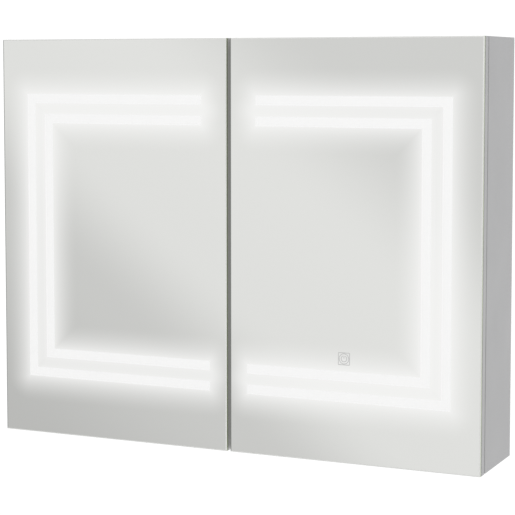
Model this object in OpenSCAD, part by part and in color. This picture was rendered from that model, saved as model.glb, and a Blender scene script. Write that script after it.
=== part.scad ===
// Two-door mirror cabinet with lit mirrors, for hanging on a bathroom wall.
// X runs along the width, -Y is the front, +Z is up, all in millimetres.
// The origin is the centre of the wall fixings, on the wall plane.

/* [Overall] */
// Width across both doors
cabinet_w = 760; // [640:10:960]
// Height of the body and of the doors
cabinet_h = 600; // [500:10:760]
// Depth from the wall to the front of the mirrors
cabinet_d = 145; // [125:5:200]

/* [Body] */
// Thickness of the hollow body panels
panel_t = 14; // [12:1:18]
// Wall of the hollow body panels
panel_wall = 1.6; // [1.2:0.1:2]
// Thickness of the back panel
back_t = 3; // [2:0.5:4]
// How far the back panel sits in from the wall plane, which is also the hanger plates' thickness
back_recess = 2; // [1.5:0.5:3]
// Radius of the rounded edges at the front of the body and the back of the doors
edge_r = 1; // [0.5:0.1:1.2]
// Distance of the wall fixings from the sides
hang_inset_x = 70; // [50:5:100]
// Distance of the wall fixings from the top and the bottom
hang_inset_z = 60; // [50:5:100]
// Radius of the wall fixing holes
hang_hole_r = 3.5; // [2.5:0.5:4.5]

/* [Doors] */
// Gap between the two doors
meeting_gap = 6; // [3:0.5:8]
// Gap between the doors and the front of the body
door_gap = 2.5; // [2:0.25:4]
// Thickness of the mirror glass
glass_t = 5; // [4:1:6]
// Depth of the hollow door frame
frame_t = 14; // [14:1:18]
// Face width of the hollow door frame
frame_face = 24; // [22:1:30]
// Thickness of the inner door sheet
door_sheet_t = 2; // [1:0.5:3]

/* [Light] */
// Width of each frosted band
band_w = 14; // [8:1:16]
// Distance from the outer band's edge to the inner band's edge
band_pitch = 30; // [26:1:40]
// Outer band's distance from the hinge side of the door
band_side = 43; // [40:1:60]
// Outer band's distance from the top of the door
band_top = 82; // [60:1:120]
// Outer band's distance from the bottom of the door
band_bottom = 87; // [60:1:120]
// Distance from the cabinet's middle to the end of the upper bands
band_end_top = 43; // [40:1:80]
// Distance from the cabinet's middle to the end of the lower bands
band_end_bottom = 30; // [30:1:80]
// Spacing of the light chips along the strip
chip_pitch = 20; // [15:1:40]
// Touch mark's distance from the cabinet's middle
touch_x = 180; // [120:1:200]
// Touch mark's height above the bottom
touch_up = 149; // [145:1:300]
// Width of the touch mark
mark_size = 18; // [16:1:20]

/* [Hinges] */
// Distance of the hinges from the top and the bottom
hinge_inset = 100; // [100:5:150]
// Pin's distance from the door's outer edge
pin_u = 6.3; // [6:0.1:7]
// Pin's distance in front of the body
pin_v = 11.5; // [11:0.1:12]
// Radius of the hinge pin
pin_r = 1.5; // [1.2:0.1:1.6]

/* [Shelves] */
// Thickness of the glass shelves
shelf_t = 5; // [4:1:8]
// Spacing of the shelf pin holes
hole_pitch = 32; // [25:1:40]
// Holes between the middle and each shelf
shelf_step = 3; // [2:1:4]
// Holes above and below the middle hole
hole_reach = 5; // [5:1:6]
// Radius of the shelf pins
peg_r = 2.5; // [2:0.25:3]

/* [Electrics] */
// Width of the driver housing
housing_w = 240; // [200:10:300]
// Height of the driver housing
housing_h = 36; // [34:1:50]
// Depth of the driver housing
housing_d = 65; // [60:1:75]
// Radius of the mains lead's hole in the inlet grommet
inlet_r = 4; // [3:0.5:5]
// Radius of the leads to the doors
lead_r = 2; // [1.5:0.25:2.5]

/* [Hidden] */

slack = 0.2;        // clearance between pieces that slide together
skin = 0.1;         // clearance between pieces that only lie side by side
tape_t = 1;         // mounting tape between the mirror and the door frame
frame_wall = 1.5;   // wall of the door frame profile
cell_count = 4;     // hollow cells across a body panel
groove_deep = 6;    // depth of the grooves that hold the back panel and the door sheets
key_leg = 34;       // length of a corner key's legs
bore_fn = 48;

half_w = cabinet_w / 2;
half_h = cabinet_h / 2;
door_t = frame_t + tape_t + glass_t;
body_d = cabinet_d - door_t - door_gap;
door_w = half_w - meeting_gap / 2;
inner_x = half_w - panel_t;
inner_z = half_h - panel_t;
hinge_z = half_h - hinge_inset;

// Colours
silver = [0.70, 0.70, 0.71];
white_paint = [0.88, 0.88, 0.87];
steel = [0.62, 0.63, 0.65];
opal = [0.97, 0.97, 0.95];
mirror_grey = [0.80, 0.82, 0.81];
clear_glass = [0.78, 0.88, 0.84];
black_rubber = [0.08, 0.08, 0.08];
cable_white = [0.9, 0.9, 0.9];

// ---------- Placing ----------

// Door and hinge pieces are drawn in a hinge frame: x runs in from the cabinet's side,
// y runs forward from the front of the body, and z is the cabinet's own.
module on_right() translate([half_w, -body_d, 0]) rotate([0, 0, 180]) children();
module on_left() mirror([1, 0, 0]) on_right() children();
module both_ways(z) for (side = [-1, 1]) translate([0, 0, side * z]) children();

// Turns an outline drawn in x and z into a solid from y = near to y = far.
module upright(near, far)
    translate([0, far, 0]) rotate([90, 0, 0]) linear_extrude(far - near) children();

// A cylinder along x, from x = low to x = high.
module rod_x(r, low, high)
    translate([low, 0, 0]) rotate([0, 90, 0]) cylinder(r = r, h = high - low, $fn = bore_fn);

// A cylinder along y, from y = low to y = high.
module rod_y(r, low, high)
    translate([0, high, 0]) rotate([90, 0, 0]) cylinder(r = r, h = high - low, $fn = bore_fn);

// ---------- Hollow profiles with mitred ends ----------

// Outline that cuts a profile's two ends at 45 degrees: x runs in from the outer face.
module mitre_outline(length, reach)
    polygon([
        [0, -length / 2], [reach, reach - length / 2],
        [reach, length / 2 - reach], [0, length / 2],
    ]);

// What a rounded edge takes off an outline's corner at the origin, where x and y are inwards.
module corner_waste(r)
    difference() {
        translate([-1, -1]) square(r + 1);
        translate([r, r]) circle(r = r, $fn = bore_fn);
    }

// Solid zone behind the cells, with the groove for the back panel in it.
rear_zone = back_recess + back_t + slack + panel_wall;
cell_w = (body_d - panel_wall - rear_zone - (cell_count - 1) * panel_wall) / cell_count;
function cell_front(i) = -rear_zone - i * (cell_w + panel_wall);

module body_section()
    difference() {
        translate([0, -body_d]) square([panel_t, body_d]);
        for (i = [0 : cell_count - 1])
            translate([panel_wall, cell_front(i) - cell_w])
                square([panel_t - 2 * panel_wall, cell_w]);
        translate([panel_t - groove_deep, -back_recess - back_t - slack])
            square([groove_deep + 1, back_t + slack]);
        translate([0, -body_d]) corner_waste(edge_r);
        translate([panel_t, -body_d]) mirror([1, 0]) corner_waste(edge_r);
    }

module body_member(length)
    intersection() {
        translate([0, 0, -length / 2]) linear_extrude(length) body_section();
        upright(-body_d, 0) mitre_outline(length, panel_t);
    }

// Door profile in the hinge frame: x from the door's outer edge, y from the body's front.
sheet_y = door_gap + 1.6;    // rear face of the door's inner sheet
groove_t = door_sheet_t + slack;
frame_front = door_gap + frame_t;
key_room = frame_face - 2 * frame_wall - groove_deep;

module door_section()
    difference() {
        translate([0, door_gap]) square([frame_face, frame_t]);
        translate([frame_wall, door_gap + frame_wall])
            square([key_room, frame_t - 2 * frame_wall]);
        translate([frame_wall, sheet_y + groove_t + frame_wall])
            square([frame_face - 2 * frame_wall, frame_t - sheet_y + door_gap - groove_t - 2 * frame_wall]);
        translate([frame_face - groove_deep, sheet_y]) square([groove_deep + 1, groove_t]);
        translate([0, door_gap]) corner_waste(edge_r);
        translate([frame_face, door_gap]) mirror([1, 0]) corner_waste(edge_r);
    }

module door_member(length)
    intersection() {
        translate([0, 0, -length / 2]) linear_extrude(length) door_section();
        upright(door_gap, frame_front) mitre_outline(length, frame_face);
    }

// L-shaped key that joins two hollow profiles: its corner is at the profiles' outer corner.
module key_outline(inset, thick)
    polygon([
        [inset, -inset], [key_leg, -inset], [key_leg, -inset - thick],
        [inset + thick, -inset - thick], [inset + thick, -key_leg], [inset, -key_leg],
    ]);

// ---------- Body ----------

key_screw_at = key_leg - 9;   // distance of a key's screws from the corner
peg_front_y = -body_d + 22;
peg_rear_y = -30;

module key_screw_rows()
    for (i = [0, cell_count - 1]) translate([0, cell_front(i) - cell_w / 2, 0]) children();

// Screw holes for the corner keys, through the inner wall of a panel of this length.
module key_screw_holes(length)
    both_ways(length / 2 - key_screw_at)
        key_screw_rows() rod_x(2.1, panel_t - panel_wall - 1, panel_t + 1);

plate_screw_y = 34;   // hinge plate screws, behind the body's front
plate_screw_z = 16;
plate_screw_deep = 6;
peg_deep = 4;

module side_panel()
    difference() {
        body_member(cabinet_h);
        key_screw_holes(cabinet_h);
        for (i = [-hole_reach : hole_reach], y = [peg_front_y, peg_rear_y])
            translate([0, y, i * hole_pitch])
                rod_x(peg_r + skin, panel_t - peg_deep - skin, panel_t + 1);
        both_ways(hinge_z) both_ways(plate_screw_z)
            translate([0, plate_screw_y - body_d, 0])
                rod_x(1.85, panel_t - plate_screw_deep - skin, panel_t + 1);
    }

module left_side() color(silver) translate([-half_w, 0, 0]) side_panel();
module right_side() color(silver) mirror([1, 0, 0]) translate([-half_w, 0, 0]) side_panel();

module level_panel()
    translate([0, 0, half_h]) rotate([0, 90, 0]) difference() {
        body_member(cabinet_w);
        key_screw_holes(cabinet_w);
    }

module top_panel()
    color(silver) difference() {
        level_panel();
        housing_screw_places() translate([0, 0, -1])
            cylinder(r = 1.6, h = housing_screw_deep + skin + 1, $fn = bore_fn);
    }

module bottom_panel() color(silver) mirror([0, 0, 1]) level_panel();

inlet_x = housing_w / 2 - 35;
inlet_z = inner_z - housing_h / 2;
grommet_r = inlet_r + 2.5;

module hanger_places()
    for (x = [-1, 1], z = [-1, 1])
        translate([x * (half_w - hang_inset_x), 0, z * (half_h - hang_inset_z)]) children();

module back_panel()
    color(white_paint) difference() {
        translate([-inner_x - groove_deep + slack, -back_recess - back_t, -inner_z - groove_deep + slack])
            cube([2 * (inner_x + groove_deep - slack), back_t, 2 * (inner_z + groove_deep - slack)]);
        hanger_places() rod_y(hang_hole_r, -back_recess - back_t - 1, 0);
        translate([inlet_x, 0, inlet_z]) rod_y(grommet_r + skin, -back_recess - back_t - 1, 0);
    }

module hanger_plates()
    color(steel) hanger_places() difference() {
        translate([-28, -back_recess, -28]) cube([56, back_recess, 56]);
        rod_y(hang_hole_r, -back_recess - 1, 1);
    }

key_thick = panel_t - 2 * panel_wall - 2 * slack;
module body_corner_keys()
    color(steel) for (x = [-1, 1], z = [-1, 1], i = [0, cell_count - 1])
        scale([x, 1, z]) translate([-half_w, 0, half_h]) difference() {
            upright(cell_front(i) - cell_w + slack, cell_front(i) - slack)
                key_outline(panel_wall + slack, key_thick);
            translate([0, cell_front(i) - cell_w / 2, -key_screw_at]) rod_x(2.1, 5, panel_t);
            translate([key_screw_at, cell_front(i) - cell_w / 2, 0])
                rotate([0, 90, 0]) rod_x(2.1, 5, panel_t);
        }

// Grub screw along x with a hexagon socket, its open end just under the panel's inner face.
module grub_screw()
    difference() {
        rod_x(2, 5.5, panel_t - 0.4);
        translate([panel_t - 3, 0, 0]) rotate([0, 90, 0]) cylinder(r = 1.15, h = 4, $fn = 6);
    }

module corner_key_screws()
    color(steel) for (x = [-1, 1], z = [-1, 1]) scale([x, 1, z]) translate([-half_w, 0, half_h])
        key_screw_rows() {
            translate([0, 0, -key_screw_at]) grub_screw();
            translate([key_screw_at, 0, 0]) rotate([0, 90, 0]) grub_screw();
        }

module door_bumpers()
    color(clear_glass) for (x = [-12, 12], z = [-1, 1])
        translate([x, -body_d, z * (half_h - panel_t / 2)]) {
            rod_y(4, 0.8 - door_gap, 0);
            rod_y(2.6, 0.3 - door_gap, 0);
        }

// ---------- Shelves ----------

shelf_side_gap = 1.5;
shelf_rear_gap = 9;
shelf_front_gap = 10.5;
shelf_z = shelf_step * hole_pitch;
peg_len = 9;

module shelf()
    translate([-inner_x + shelf_side_gap, -body_d + shelf_front_gap, peg_r])
        cube([
            2 * (inner_x - shelf_side_gap),
            body_d - shelf_front_gap - back_recess - back_t - shelf_rear_gap,
            shelf_t,
        ]);

module upper_shelf() color(clear_glass) translate([0, 0, shelf_z]) shelf();
module lower_shelf() color(clear_glass) translate([0, 0, -shelf_z]) shelf();

// Shelf pin along x, with its collar on the side panel's inner face at x = 0.
module shelf_pin()
    intersection() {
        union() {
            rod_x(peg_r, -peg_deep, peg_len);
            rod_x(peg_r + 2, 0, 1.2);
            translate([0, -5, peg_r - 2]) cube([peg_len, 10, 2]);
        }
        translate([-5, -10, -10]) cube([peg_len + 5, 20, 10 + peg_r]);
    }

module shelf_pins()
    color(steel) for (x = [-1, 1], z = [-1, 1], y = [peg_front_y, peg_rear_y])
        scale([x, 1, 1]) translate([-inner_x, y, z * shelf_z]) shelf_pin();

// ---------- Driver housing and wiring ----------

housing_wall = 1.2;
housing_screw_deep = 6;
ear_w = 14;
housing_back_y = -back_recess - back_t;
lead_y = housing_back_y - 35;
lead_z = inner_z - 14;

module housing_screw_places()
    for (x = [-1, 1], y = [15, housing_d - 12])
        translate([x * (housing_w / 2 + ear_w / 2), housing_back_y - y, inner_z]) children();

module driver_housing()
    color(white_paint) difference() {
        union() {
            translate([-housing_w / 2, housing_back_y - housing_d, inner_z - housing_h])
                cube([housing_w, housing_d, housing_h]);
            translate([-housing_w / 2 - ear_w, housing_back_y - housing_d, inner_z - housing_wall])
                cube([housing_w + 2 * ear_w, housing_d, housing_wall]);
        }
        translate([
            -housing_w / 2 + housing_wall, housing_back_y - housing_d + housing_wall,
            inner_z - housing_h + housing_wall,
        ])
            cube([housing_w - 2 * housing_wall, housing_d, housing_h]);
        housing_screw_places() cylinder(r = 2.1, h = 4 * housing_wall, center = true, $fn = bore_fn);
        translate([0, lead_y, lead_z]) rod_x(lead_r + slack, -housing_w / 2 - 1, housing_w / 2 + 1);
    }

module housing_screws()
    color(steel) housing_screw_places() difference() {
        union() {
            translate([0, 0, -housing_wall - 2.2]) cylinder(r = 3.6, h = 2.2, $fn = bore_fn);
            translate([0, 0, -housing_wall - 1])
                cylinder(r = 1.5, h = housing_wall + 1 + housing_screw_deep, $fn = bore_fn);
        }
        translate([0, 0, -housing_wall - 2.2]) for (turn = [0, 90]) rotate([0, 0, turn])
            cube([3.6, 0.8, 2.4], center = true);
    }

driver_l = 130;
driver_d = 42;
driver_tall = 24;
driver_x = -housing_w / 2 + housing_wall + 22;
housing_floor_z = inner_z - housing_h + housing_wall;

module led_driver()
    color(white_paint) translate([driver_x, housing_back_y - driver_d - 2 * slack, housing_floor_z])
        difference() {
            union() {
                cube([driver_l, driver_d, driver_tall]);
                translate([-12, 8, 0]) cube([driver_l + 24, driver_d - 16, 3]);
            }
            for (x = [-7, driver_l + 7]) translate([x, driver_d / 2, -1])
                cylinder(r = 2, h = 5, $fn = bore_fn);
            for (x = [6, driver_l - 8], side = [-1, driver_d - 1])
                translate([x, side, -1]) cube([2, 2, driver_tall + 2]);
        }

module terminal_block()
    color(opal) translate([driver_x + driver_l + 20, housing_back_y - housing_d + 6, housing_floor_z])
        difference() {
            cube([33, 18, 15]);
            for (i = [0 : 2]) translate([6.5 + 10 * i, 9, 6]) cylinder(r = 2.4, h = 10, $fn = bore_fn);
            for (i = [0 : 2]) translate([6.5 + 10 * i, 0, 5]) rod_y(2, -1, 5);
            for (i = [1 : 2]) translate([10 * i + 1, -1, 11]) cube([1, 20, 5]);
        }

// Rubber grommet in the back panel, bored for the mains lead.
module inlet_grommet()
    color(black_rubber) translate([inlet_x, 0, inlet_z]) difference() {
        union() {
            rod_y(grommet_r + 2, -back_recess, -slack);
            rod_y(grommet_r, -back_recess - back_t, -back_recess);
            rod_y(grommet_r + 2, housing_back_y - 1.8, housing_back_y);
        }
        rod_y(inlet_r, housing_back_y - 3, 1);
    }

// Route of the lead from the driver housing to the door, for the right side. It runs under
// the top panel, turns forward at the side, hangs in a loop and enters the door's sheet.
door_entry_u = frame_face + 9;
door_entry_z = half_h - 45;
side_run_x = half_w - 24;
clip_z = inner_z - 4.4;
lead_route = [
    [housing_w / 2 - 8, lead_y, lead_z],
    [housing_w / 2 + 6, lead_y, lead_z],
    [housing_w / 2 + 18, lead_y, lead_z + 1.2],
    [housing_w / 2 + 30, lead_y, lead_z + 4.8],
    [housing_w / 2 + 42, lead_y, clip_z - 1.2],
    [housing_w / 2 + 54, lead_y, clip_z],
    [housing_w / 2 + 80, lead_y, clip_z],
    [side_run_x - 60, lead_y, clip_z],
    [side_run_x - 30, lead_y, clip_z],
    [side_run_x - 16, lead_y - 1.6, clip_z],
    [side_run_x - 5, lead_y - 6.6, clip_z - 0.4],
    [side_run_x, lead_y - 17.5, clip_z - 1.4],
    [side_run_x, lead_y - 30, clip_z - 4.2],
    [side_run_x, lead_y - 42, clip_z - 12.6],
    [side_run_x, -body_d + 32.5, clip_z - 23.6],
    [side_run_x, -body_d + 31, clip_z - 37.1],
    [side_run_x - 0.5, -body_d + 29, clip_z - 45.6],
    [side_run_x - 2.5, -body_d + 23.5, clip_z - 50.6],
    [side_run_x - 6, -body_d + 15.5, clip_z - 50.6],
    [side_run_x - 8.5, -body_d + 9.5, clip_z - 45.1],
    [half_w - door_entry_u - 0.5, -body_d + 7, door_entry_z - 11],
    [half_w - door_entry_u, -body_d + 4, door_entry_z - 5.5],
    [half_w - door_entry_u, -body_d - 2.5, door_entry_z - 1],
    [half_w - door_entry_u, -body_d - 11, door_entry_z],
];
lead_steps = 4;
lead_sides = 8;

function blend4(a, b, c, d, t) =
    0.5 * (2 * b + (c - a) * t + (2 * a - 5 * b + 4 * c - d) * t * t + (3 * b - a - 3 * c + d) * t * t * t);
function route_at(p, i) = p[max(0, min(len(p) - 1, i))];
function smooth_route(p) = [
    for (i = [0 : len(p) - 2], k = [0 : lead_steps - 1])
        blend4(route_at(p, i - 1), p[i], p[i + 1], route_at(p, i + 2), k / lead_steps),
    p[len(p) - 1],
];
function unit(v) = v / norm(v);

// Closed tube of radius r along the points p.
module tube(p, r, sides) {
    last = len(p) - 1;
    reference = unit([0.6, 0.7, 0.35]);
    rings = [
        for (i = [0 : last])
            let (
                along = unit(p[min(last, i + 1)] - p[max(0, i - 1)]),
                across = unit(cross(along, reference)),
                up = cross(along, across)
            )
            for (k = [0 : sides - 1])
                p[i] + r * (across * cos(360 * k / sides) + up * sin(360 * k / sides))
    ];
    walls = [
        for (i = [0 : last - 1], k = [0 : sides - 1])
            let (a = i * sides + k, b = i * sides + (k + 1) % sides)
            [a, a + sides, b + sides, b]
    ];
    polyhedron(
        points = rings,
        faces = concat(
            walls,
            [[for (k = [0 : sides - 1]) k]],
            [[for (k = [sides - 1 : -1 : 0]) last * sides + k]]
        )
    );
}

module door_lead() color(cable_white) tube(smooth_route(lead_route), lead_r, lead_sides);
module right_door_lead() door_lead();
module left_door_lead() mirror([1, 0, 0]) door_lead();

// Saddle clips that hold the leads under the top panel.
module lead_clips()
    color(cable_white) for (side = [-1, 1]) scale([side, 1, 1])
        translate([side_run_x - 75, lead_y, inner_z]) difference() {
            union() {
                translate([-4, -8, -1.6]) cube([8, 16, 1.6]);
                translate([0, 0, clip_z - inner_z]) rod_x(lead_r + 1.4, -3, 3);
                translate([-3, -lead_r - 1.4, clip_z - inner_z])
                    cube([6, 2 * lead_r + 2.8, inner_z - clip_z]);
            }
            translate([0, 0, clip_z - inner_z]) rod_x(lead_r + slack, -5, 5);
        }

// ---------- Doors ----------

glass_back = frame_front + tape_t;
etch_deep = 0.5;
mark_line = 1;
mark_corner = 1.5;

module hinge_stile()
    color(silver) difference() {
        door_member(cabinet_h);
        both_ways(hinge_z) cup_pocket();
        both_ways(hinge_z) both_ways(cup_screw_z)
            translate([cup_screw_u, 0, 0]) rod_y(1.65, door_gap - 1, door_gap + frame_wall + 1);
    }

module meeting_stile()
    color(silver) translate([door_w, 0, 0]) mirror([1, 0, 0]) door_member(cabinet_h);

module top_rail()
    color(silver) translate([door_w / 2, 0, half_h]) rotate([0, 90, 0]) door_member(door_w);

module bottom_rail()
    color(silver) mirror([0, 0, 1]) translate([door_w / 2, 0, half_h]) rotate([0, 90, 0])
        door_member(door_w);

module door_corner_keys()
    color(steel) for (x = [0, 1], z = [-1, 1])
        translate([x * door_w, 0, z * half_h]) scale([1 - 2 * x, 1, z])
            upright(door_gap + frame_wall + slack, frame_front - frame_wall - slack)
                key_outline(frame_wall + slack, key_room - 2 * slack);

module door_sheet()
    color(white_paint) difference() {
        translate([frame_face - groove_deep + slack, sheet_y, -half_h + frame_face - groove_deep + slack])
            cube([
                door_w - 2 * (frame_face - groove_deep + slack),
                door_sheet_t,
                cabinet_h - 2 * (frame_face - groove_deep + slack),
            ]);
        both_ways(hinge_z) cup_pocket();
        translate([door_entry_u, 0, door_entry_z]) rod_y(lead_r + 1, sheet_y - 1, sheet_y + door_sheet_t + 1);
    }

module mirror_tape()
    color(black_rubber) upright(frame_front, glass_back) difference() {
        translate([1.5, -half_h + 1.5]) square([door_w - 3, cabinet_h - 3]);
        translate([frame_face - 10, -half_h + frame_face - 10])
            square([door_w - 2 * (frame_face - 10), cabinet_h - 2 * (frame_face - 10)]);
    }

// Bracket-shaped outline that opens towards the meeting edge of the door. Its edge lies this
// far inside the outer band's edge, and each arm is this wide.
module bracket_outline(inset, wide, end_trim) {
    low = -half_h + band_bottom + inset;
    high = half_h - band_top - inset;
    left = band_side + inset;
    translate([left, low]) square([wide, high - low]);
    translate([left, high - wide]) square([half_w - band_end_top - end_trim - left, wide]);
    translate([left, low]) square([half_w - band_end_bottom - end_trim - left, wide]);
}

module bands(near, far)
    for (inset = [0, band_pitch]) upright(near, far) bracket_outline(inset, band_w, 0);

// Ring with a middle radius and a line width.
module ring(r, line)
    difference() {
        circle(r = r + line / 2, $fn = bore_fn);
        circle(r = r - line / 2, $fn = bore_fn);
    }

module soft_square(side, corner) {
    square([side, side - 2 * corner], center = true);
    square([side - 2 * corner, side], center = true);
    for (x = [-1, 1], z = [-1, 1])
        translate([x, z] * (side / 2 - corner)) circle(r = corner, $fn = bore_fn);
}

// Power symbol in a ring in a square with rounded corners.
module touch_outline() {
    difference() {
        soft_square(mark_size, mark_corner);
        soft_square(mark_size - 2 * mark_line, mark_corner - mark_line);
    }
    ring(mark_size / 2 - mark_line - 0.8, mark_line);
    difference() {
        ring(mark_size / 4 - 0.3, mark_line);
        translate([0, mark_size / 4]) square([3, 4], center = true);
    }
    translate([0, 2.4]) square([mark_line, 4], center = true);
}

touch_u = half_w - touch_x;
module at_touch() translate([touch_u, 0, touch_up - half_h]) children();

module mirror_glass(has_touch)
    color(mirror_grey) difference() {
        translate([0, glass_back, -half_h]) cube([door_w, glass_t, cabinet_h]);
        bands(glass_back - 1, glass_back + etch_deep);
        if (has_touch) at_touch() upright(glass_back - 1, glass_back + etch_deep) touch_outline();
    }

module frosted_bands() color(opal) bands(glass_back, glass_back + etch_deep);
module touch_mark() color(steel) at_touch() upright(glass_back, glass_back + etch_deep) touch_outline();

module touch_sensor()
    color(black_rubber) at_touch() difference() {
        translate([-11, glass_back - 4.5, -11]) cube([22, 4.5, 22]);
        translate([-9.5, glass_back - 5, -9.5]) cube([19, 3, 19]);
    }

channel_base = sheet_y + door_sheet_t;
channel_wall = 1;
diffuser_t = 2;
channel_front = glass_back - skin - diffuser_t;
bracket_wide = band_pitch + band_w;

module light_channel()
    color(white_paint) difference() {
        upright(channel_base, channel_front)
            bracket_outline(-channel_wall, bracket_wide + 2 * channel_wall, -channel_wall);
        upright(channel_base + channel_wall, channel_front + 1) bracket_outline(0, bracket_wide, 0);
        translate([band_side, 0, door_entry_lead_z]) rod_x(lead_r + slack, -3, 1);
    }
door_entry_lead_z = half_h - band_top - bracket_wide / 2;

module diffuser()
    color(opal) upright(channel_front, channel_front + diffuser_t)
        bracket_outline(-channel_wall, bracket_wide + 2 * channel_wall, -channel_wall);

strip_w = 10;
strip_t = 0.8;
strip_inset = (bracket_wide - strip_w) / 2;
strip_y = channel_base + channel_wall;
chip = [3.5, 0.9, 2.8];
strip_trim = 6;

// The light chips along a run that starts at a point and goes this way for this long.
module chip_run(start, way, length)
    for (i = [0 : floor(length / chip_pitch) - 1])
        translate(start + way * (i + 0.5) * chip_pitch)
            translate([-chip[0] / 2, strip_t, -chip[2] / 2]) cube(chip);

module led_strip() {
    mid_u = band_side + bracket_wide / 2;
    low = -half_h + band_bottom + bracket_wide / 2;
    high = half_h - band_top - bracket_wide / 2;
    arm_u = mid_u + strip_w;
    color(opal) {
        upright(strip_y, strip_y + strip_t) bracket_outline(strip_inset, strip_w, strip_trim);
        chip_run([mid_u, strip_y, low], [0, 0, 1], high - low);
        chip_run([arm_u, strip_y, high], [1, 0, 0], half_w - band_end_top - strip_trim - arm_u);
        chip_run([arm_u, strip_y, low], [1, 0, 0], half_w - band_end_bottom - strip_trim - arm_u);
    }
}

// ---------- Hinges ----------

// Single-pivot concealed hinge. The cup is let into the door, and the arm hooks from the pin
// back into the body, so that the door turns clear of the side panel.
cup_u0 = frame_wall + slack;
cup_u1 = 31;
cup_half = 13;
cup_wall = 1.2;
cup_front = frame_front - frame_wall - skin;
cup_floor = cup_front - 0.8;
flange_u0 = 8;
flange_half = 24;
flange_t = 1.2;
cup_screw_u = 14;
cup_screw_z = 18.5;
arm_half = 7;
arm_t = 2;
plate_t = 5.3;
arm_face_u = panel_t + plate_t;
arm_rear = 46;
eye_r = pin_r + 0.7;
plate_half = arm_half - slack;
cheek_half = arm_half + 1.7;

module cup_pocket()
    translate([frame_wall, door_gap - 2, -cup_half - skin])
        cube([cup_u1 + slack - frame_wall, frame_front - frame_wall - door_gap + 2, 2 * (cup_half + skin)]);

module hinge_cup()
    difference() {
        union() {
            translate([cup_u0, door_gap, -cup_half])
                cube([cup_u1 - cup_u0, cup_front - door_gap, 2 * cup_half]);
            translate([flange_u0, door_gap - flange_t, -flange_half])
                cube([cup_u1 - flange_u0, flange_t, 2 * flange_half]);
        }
        translate([cup_u0 + cup_wall, door_gap - 3, -cup_half + cup_wall])
            cube([cup_u1 - cup_u0 - 2 * cup_wall, cup_floor - door_gap + 3, 2 * (cup_half - cup_wall)]);
        translate([pin_u, pin_v, 0])
            cylinder(r = pin_r + 0.02, h = 3 * cup_half, center = true, $fn = bore_fn);
        both_ways(cup_screw_z) translate([cup_screw_u, door_gap - flange_t, 0]) rotate([-90, 0, 0]) {
            cylinder(r = 1.7, h = 3, $fn = bore_fn);
            cylinder(r1 = 3.1, r2 = 1.7, h = flange_t, $fn = bore_fn);
        }
    }

module hinge_cups() color(steel) both_ways(hinge_z) hinge_cup();

module hinge_pins()
    color(steel) both_ways(hinge_z) translate([pin_u, pin_v, 0])
        cylinder(r = pin_r, h = 2 * cup_half - 0.2, center = true, $fn = bore_fn);

coil_turns = 3;
coil_steps = 12;
coil_wire_r = 0.3;
coil_r = pin_r + coil_wire_r + 0.15;
coil_pitch = 1;
coil_start = arm_half + 0.6;

// Return spring, wound round the pin beside the arm's eye.
module hinge_springs()
    color(steel) both_ways(hinge_z) translate([pin_u, pin_v, coil_start])
        tube([
            for (i = [0 : coil_turns * coil_steps])
                [
                    coil_r * cos(360 * i / coil_steps),
                    coil_r * sin(360 * i / coil_steps),
                    coil_pitch * i / coil_steps,
                ]
        ], coil_wire_r, 6);

module cup_screw()
    difference() {
        rotate([-90, 0, 0]) {
            cylinder(r1 = 3, r2 = 1.6, h = flange_t, $fn = bore_fn);
            cylinder(r = 1.55, h = 7, $fn = bore_fn);
        }
        for (turn = [0, 90]) rotate([0, turn, 0]) cube([3, 1.4, 0.6], center = true);
    }

module cup_screws()
    color(steel) both_ways(hinge_z) both_ways(cup_screw_z)
        translate([cup_screw_u, door_gap - flange_t, 0]) cup_screw();

module arm_outline()
    difference() {
        union() {
            translate([pin_u, pin_v]) circle(r = eye_r, $fn = bore_fn);
            translate([pin_u, pin_v - 1.2]) square([arm_face_u + arm_t - pin_u, 2.4]);
            translate([arm_face_u, -arm_rear]) square([arm_t, arm_rear + pin_v + 1.2]);
        }
        translate([pin_u, pin_v]) circle(r = pin_r + 0.04, $fn = bore_fn);
    }

module hinge_arm()
    difference() {
        union() {
            translate([0, 0, -arm_half]) linear_extrude(2 * arm_half) arm_outline();
            for (side = [0, 1]) mirror([0, 0, side])
                translate([plate_wing_top + slack, -arm_rear, arm_half])
                    cube([arm_face_u + arm_t - plate_wing_top - slack, arm_rear - 6, cheek_half - arm_half]);
        }
        translate([0, -plate_screw_y, 0]) rod_x(2.2, arm_face_u - 1, arm_face_u + arm_t + 1);
    }

plate_wing_top = panel_t + 2;
arm_screw_end = 0.8;   // how far the arm's screw stops short of the side panel

module hinge_plate()
    difference() {
        union() {
            translate([panel_t, -arm_rear - 2, -plate_half])
                cube([plate_t, arm_rear - 8, 2 * plate_half]);
            translate([panel_t, -plate_screw_y - 8, -22]) cube([plate_wing_top - panel_t, 16, 44]);
        }
        both_ways(plate_screw_z) translate([0, -plate_screw_y, 0]) rod_x(2, panel_t - 1, plate_wing_top + 1);
        translate([0, -plate_screw_y, 0]) rod_x(1.8, panel_t + arm_screw_end - skin, arm_face_u + 1);
    }

module pan_screw(shank_r, length)
    difference() {
        union() {
            rod_x(shank_r, -length, 0);
            rod_x(2 * shank_r, 0, 1.8);
        }
        for (turn = [0, 90]) rotate([turn, 0, 0]) translate([1.8, 0, 0]) cube([1.8, 3, 0.8], center = true);
    }

module hinge_screw_set()
    both_ways(hinge_z) {
        both_ways(plate_screw_z) translate([plate_wing_top, -plate_screw_y, 0])
            pan_screw(1.75, plate_screw_deep + plate_wing_top - panel_t);
        translate([arm_face_u + arm_t, -plate_screw_y, 0]) pan_screw(1.7, arm_t + plate_t - arm_screw_end);
    }

module hinge_arms() color(steel) both_ways(hinge_z) hinge_arm();
module hinge_plates() color(steel) both_ways(hinge_z) hinge_plate();
module hinge_screws() color(steel) {
    on_left() hinge_screw_set();
    on_right() hinge_screw_set();
}

// ---------- Nodes ----------

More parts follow.
